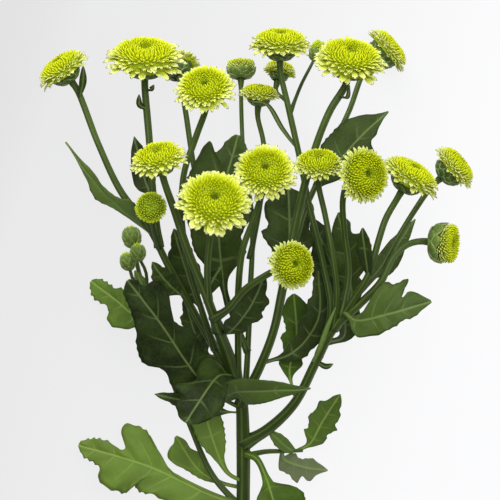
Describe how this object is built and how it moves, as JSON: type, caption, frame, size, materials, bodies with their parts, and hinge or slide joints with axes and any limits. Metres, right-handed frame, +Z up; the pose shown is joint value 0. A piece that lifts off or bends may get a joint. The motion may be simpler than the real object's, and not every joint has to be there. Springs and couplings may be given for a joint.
{
  "type": "pompon chrysanthemum",
  "caption": "Cut spray of lime-green pompon chrysanthemum laid flat: a forking leafy stem with a clean cut, domed flower heads, closed buds and lobed leaves.",
  "frame": {"origin": "middle of the bottom of the whole spray, on the surface that it lies on", "axes": "+Z up from the surface, +Y from the cut end of the main stem towards the flower heads, +X to the right as seen from above with the flower heads at the top"},
  "size_m": [0.1826, 0.282, 0.13],
  "materials": {
    "stem": "satin",
    "florets": "matte",
    "leaf": "satin",
    "leaf_light": "satin"
  },
  "bodies": {
    "root": {"main_stem": "stem", "shoot_left": "stem", "shoot_back": "stem", "shoot_centre": "stem", "shoot_right": "stem", "shoot_right_back": "stem", "shoot_buds": "stem", "shoot_low_right": "stem", "head_01": "florets", "head_02": "florets", "head_03": "florets", "head_04": "florets", "head_05": "florets", "head_06": "florets", "head_07": "florets", "head_08": "florets", "head_09": "florets", "head_10": "florets", "head_11": "florets", "head_12": "florets", "head_13": "florets", "head_14": "florets", "head_15": "florets", "head_16": "florets", "head_17": "florets", "head_18": "florets", "head_19": "florets", "head_20": "florets", "leaf_01": "leaf", "leaf_02": "leaf", "leaf_03": "leaf", "leaf_04": "leaf", "leaf_05": "leaf", "leaf_06": "leaf", "leaf_07": "leaf", "leaf_08": "leaf", "leaf_09": "leaf", "leaf_10": "leaf", "leaf_11": "leaf", "leaf_12": "leaf_light", "leaf_13": "leaf", "leaf_14": "leaf_light", "leaf_15": "leaf", "leaf_16": "leaf", "leaf_17": "leaf", "leaf_18": "leaf", "leaf_19": "leaf", "leaf_20": "leaf", "leaf_21": "leaf_light", "leaf_22": "leaf_light", "leaf_23": "leaf_light", "leaf_24": "leaf_light", "leaf_25": "leaf_light", "leaf_26": "leaf_light"}
  },
  "joints": []
}
